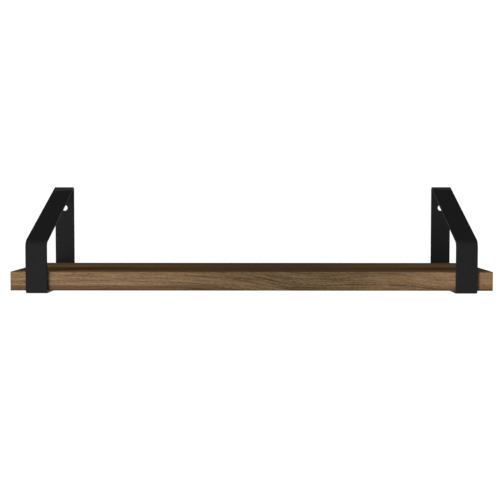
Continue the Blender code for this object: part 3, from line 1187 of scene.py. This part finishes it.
# ---------------------------------------------------------------- screws
@dataclass
class BoardScrew:
    """A pan-head wood screw that comes up through the bottom leg into the board."""

    node: str
    material: bpy.types.Material
    head_height: float = 2.4 * MM
    crown_height: float = 0.35 * MM
    rim_width: float = 0.7 * MM
    rim_height: float = 0.9 * MM
    core_radius: float = 1.25 * MM
    thread_radius: float = 1.75 * MM
    pitch: float = 1.6 * MM
    ridge_half_width: float = 0.32
    bare_shank: float = 1.4 * MM
    point_length: float = 4 * MM
    around: int = 48
    centre_radius: float = 0.04 * MM
    cross_radius: float = 2.4 * MM
    cross_rows: int = 34
    margin_rows: int = 4
    rim_rows: int = 5
    thread_rows: int = 120
    thread_gap: float = 0.2 * MM
    thread_fade: float = 0.6 * MM
    ridge_sharpness: float = 1.3
    tip_gap: float = 0.02 * MM
    tip_share: float = 0.03
    point_fullness: float = 0.75
    recess_half_width: float = 0.45 * MM
    recess_reach: float = 1.95 * MM
    recess_depth: float = 1.3 * MM
    recess_rise: float = 0.35
    arm_softness: float = 0.10 * MM
    end_softness: float = 0.14 * MM

    def __post_init__(self) -> None:
        """Reads the screw's place and overall sizes from its node in the frame."""
        low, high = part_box(self.node)
        self.centre = Vector(((low.x + high.x) / 2, (low.y + high.y) / 2, 0.0))
        self.head_radius, self.crown_z, self.tip_z = (high.x - low.x) / 2, low.z, high.z
        self.bearing_z = self.crown_z + self.head_height

    def build(self) -> None:
        """Makes the screw and dresses it."""
        fit_out(self.surface(), self.material, Slot.SCREW, self.node)

    def surface(self) -> bpy.types.Object:
        """The whole screw as one surface: v goes round it, and u from the crown's middle over the
        head's rim, in under the head and up the thread to the tip."""
        v = 2 * math.pi * np.arange(self.around) / self.around
        head_radius, head_z, edge = self.head(v)
        thread_radius, thread_z = self.thread(v)
        radius = np.vstack([head_radius, thread_radius])
        height = np.vstack([head_z, thread_z])
        points = np.stack([self.centre.x + radius * np.cos(v), self.centre.y + radius * np.sin(v),
                           height], axis=-1).reshape(-1, 3)
        quads = grid_quads(*radius.shape, False, True)
        arris = np.concatenate([edge.ravel(), np.zeros(thread_radius.size)])
        return add_piece(f"{self.node}_turned", points, quads, end_caps(*radius.shape), arris=arris)

    def head(self, v: np.ndarray) -> tuple[np.ndarray, np.ndarray, np.ndarray]:
        """Rows of the head: a crown that falls with the square of the radius, sunk inside the cross
        by smooth steps of the distances to the arms' sides and ends, then a round rim and the flat
        bearing face. The recess grows shallower towards the arms' ends.

        Args:
            v: the angles round the screw.

        Returns:
            Radius, height and how much each point lies on the recess's rubbed lip.
        """
        flat_radius = self.head_radius - self.rim_width
        rows = np.concatenate([np.linspace(self.centre_radius, self.cross_radius, self.cross_rows),
                               np.linspace(self.cross_radius + 0.1 * MM, flat_radius, self.margin_rows)])
        radius = np.repeat(rows[:, None], len(v), axis=1)
        x, y = np.abs(radius * np.cos(v)), np.abs(radius * np.sin(v))
        narrow, far = np.minimum(x, y), np.maximum(x, y)
        inside = (soft_step(self.recess_half_width - narrow, self.arm_softness)
                  * soft_step(self.recess_reach - far, self.end_softness))
        crown = self.crown_z + self.crown_height * (radius / flat_radius) ** 2
        height = crown + self.recess_depth * inside * (1 - self.recess_rise * far / self.recess_reach)
        lip = 4 * inside * (1 - inside)
        turn = np.linspace(0, math.pi / 2, self.rim_rows + 1)[1:, None]
        rim_radius = flat_radius + self.rim_width * np.sin(turn) + 0 * v
        rim_z = self.crown_z + self.crown_height + self.rim_height * (1 - np.cos(turn)) + 0 * v
        close_radius = np.array([self.head_radius, self.core_radius])[:, None] + 0 * v
        close_z = np.array([self.bearing_z, self.bearing_z])[:, None] + 0 * v
        return (np.vstack([radius, rim_radius, close_radius]), np.vstack([height, rim_z, close_z]),
                np.vstack([lip, 0 * rim_z, 0 * close_z]))

    def thread(self, v: np.ndarray) -> tuple[np.ndarray, np.ndarray]:
        """Rows of the shank: the radius is the core's plus a sharp ridge that climbs one pitch a
        turn and starts above a bare stretch, all tapering to the tip over the point's length by a
        power of the share that is left.

        Args:
            v: the angles round the screw.

        Returns:
            Radius and height.
        """
        start, stop = self.bearing_z + self.thread_gap, self.tip_z
        height = np.linspace(start, stop - self.tip_gap, self.thread_rows)[:, None] + 0 * v
        phase = (height / self.pitch - v / (2 * math.pi)) % 1.0
        ridge = np.maximum(0, 1 - np.abs(phase - 0.5) / self.ridge_half_width) ** self.ridge_sharpness
        grown = soft_step(height - start - self.bare_shank, self.thread_fade)
        point = np.clip((stop - height) / self.point_length, self.tip_share, 1) ** self.point_fullness
        radius = (self.core_radius + (self.thread_radius - self.core_radius) * ridge * grown) * point
        return radius, height


def soft_step(distance: np.ndarray, softness: float) -> np.ndarray:
    """0 well below zero and 1 well above it, by the cubic smooth step over twice the softness."""
    t = np.clip(distance / (2 * softness) + 0.5, 0, 1)
    return t * t * (3 - 2 * t)


# ---------------------------------------------------------------- studio
@dataclass(frozen=True)
class Softbox:
    """A rectangular area light that looks at the shelf from a direction."""

    name: str
    azimuth: float
    elevation: float
    distance: float
    width: float
    height: float
    power: float

    def build(self, target: Vector) -> None:
        """Makes the light. Azimuth 0 is in front of the shelf and 90 at its right end."""
        light = bpy.data.lights.new(self.name, "AREA")
        light.shape = "RECTANGLE"
        light.size, light.size_y = self.width, self.height
        light.energy = self.power
        lamp = bpy.data.objects.new(self.name, light)
        a, e = math.radians(self.azimuth), math.radians(self.elevation)
        back = Vector((math.sin(a) * math.cos(e), -math.cos(a) * math.cos(e), math.sin(e)))
        lamp.location = target + back * self.distance
        lamp.rotation_mode = "QUATERNION"
        lamp.rotation_quaternion = back.to_track_quat("Z", "Y")
        bpy.context.scene.collection.objects.link(lamp)


@dataclass(frozen=True)
class Studio:
    """White surroundings, soft light from the left and a pale floor far below the shelf. The camera
    looks down and to the left by its angles in degrees, and the glow goes by the upward direction."""

    camera_place: tuple[float, float, float] = (0.01174, -1.45064, 0.00998)
    camera_down: float = 2.8016
    camera_left: float = 0.5949
    lens: float = 72.156
    floor_depth: float = 3.0
    floor_size: float = 60.0
    floor_color: Color = (0.85, 0.85, 0.85)
    glow: Ramp = Ramp(-0.5, 0.5, 0.10, 0.20)
    white_seen: float = 1.05
    light_target: tuple[float, float, float] = (0.0, -0.09, -0.06)
    lights: tuple[Softbox, ...] = (
        Softbox("key_softbox", azimuth=-43, elevation=2, distance=9.0, width=4.2, height=6.2, power=830),
        Softbox("right_softbox", azimuth=94, elevation=-4, distance=4.0, width=1.6, height=1.6, power=28),
        Softbox("back_softbox", azimuth=172, elevation=-15, distance=4.0, width=2.4, height=1.2, power=70),
    )

    def build(self) -> None:
        """Makes the camera, lights, surroundings and floor."""
        self.make_camera()
        for light in self.lights:
            light.build(Vector(self.light_target))
        self.make_surroundings()
        self.make_floor()
        bpy.context.scene.view_settings.view_transform = "Standard"

    def make_camera(self) -> None:
        """A long lens a little above the board, level but for a slight look down and to the left."""
        data = bpy.data.cameras.new("camera")
        data.lens = self.lens
        data.sensor_width = 36.0
        camera = bpy.data.objects.new("camera", data)
        camera.location = self.camera_place
        camera.rotation_euler = (math.radians(90 - self.camera_down), 0, math.radians(self.camera_left))
        bpy.context.scene.collection.objects.link(camera)
        bpy.context.scene.camera = camera

    def make_surroundings(self) -> None:
        """White all round for the eye. As light it is dim, and brighter overhead than below."""
        world = bpy.data.worlds.new("white_surroundings")
        world.use_nodes = True
        bpy.context.scene.world = world
        w = Wiring(world.node_tree)
        background = world.node_tree.nodes["Background"]
        _, _, up = w.split(w.node("ShaderNodeTexCoord").outputs["Generated"])
        seen = w.node("ShaderNodeLightPath").outputs["Is Camera Ray"]
        strength = w.math("MAXIMUM", self.glow.at(w, up), w.times(seen, self.white_seen))
        w.fill(background, strength=strength, color=(1.0, 1.0, 1.0, 1.0))

    def make_floor(self) -> None:
        """A wide pale floor, as far below the shelf as a real one would be."""
        mesh = bpy.data.meshes.new("pale_floor")
        half = self.floor_size / 2
        corners = [(-half, -half), (half, -half), (half, half), (-half, half)]
        mesh.from_pydata([(x, y, -self.floor_depth) for x, y in corners], [], [(0, 1, 2, 3)])
        floor = bpy.data.objects.new("pale_floor", mesh)
        bpy.context.scene.collection.objects.link(floor)
        material, w, shader = start_material("pale_floor", roughness=0.9)
        w.fill(shader, base_color=(*self.floor_color, 1.0), emission_color=(1.0, 1.0, 1.0, 1.0),
               emission_strength=w.node("ShaderNodeLightPath").outputs["Is Camera Ray"])
        mesh.materials.append(material)


def main() -> None:
    """Builds the shelf round the frame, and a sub-assembly at a time."""
    logging.basicConfig(level=logging.INFO, format="%(name)s: %(message)s")
    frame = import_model()
    Studio().build()
    groups = Groups()
    Board(frame, groups).build()
    for side in Side:
        Bracket(side, groups).build()
    steel = BlackOxideFinish().material(groups)
    for node in sorted(name for name in frame["nodes"] if name.endswith("_screw")):
        BoardScrew(node, steel).build()


if __name__ == "__main__":
    main()
